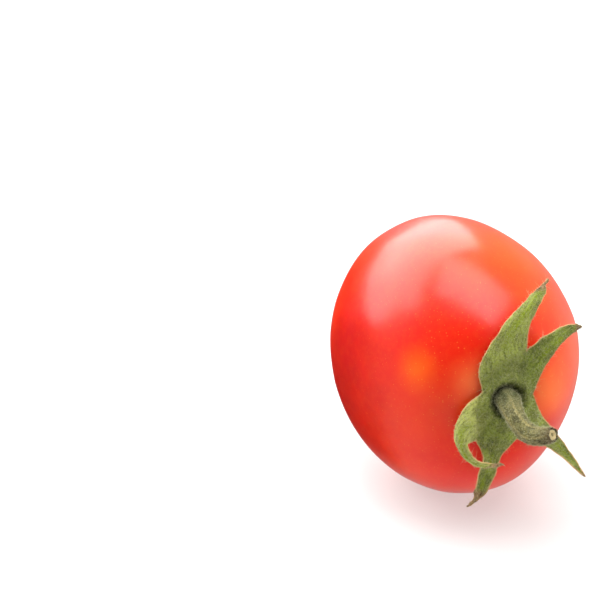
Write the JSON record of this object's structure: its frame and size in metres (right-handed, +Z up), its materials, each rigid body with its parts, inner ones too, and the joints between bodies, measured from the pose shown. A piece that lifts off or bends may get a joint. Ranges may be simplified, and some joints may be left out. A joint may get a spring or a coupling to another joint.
{
  "type": "plum tomato",
  "caption": "Ripe oval plum tomato lying on a small flat spot, with a green calyx of pointed sepals and a short bent stalk cut at its end.",
  "frame": {"origin": "middle of the flat spot that the fruit rests on", "axes": "+Z up; the stem end faces -Y and is tilted up by 9 degrees; +X is to the right of someone who looks at the stem end"},
  "size_m": [0.052, 0.0784, 0.0592],
  "materials": {
    "skin": "smooth waxy tomato skin, semi-gloss",
    "calyx": "matte green leaf with fine hairs",
    "stalk": "matte olive stalk with fine hairs and a pale cut end"
  },
  "bodies": {
    "root": {"fruit": "skin", "receptacle": "calyx", "sepal_upper": "calyx", "sepal_upper_right": "calyx", "sepal_lower_right": "calyx", "sepal_lower": "calyx", "sepal_curled": "calyx", "pedicel": "stalk"}
  },
  "joints": []
}
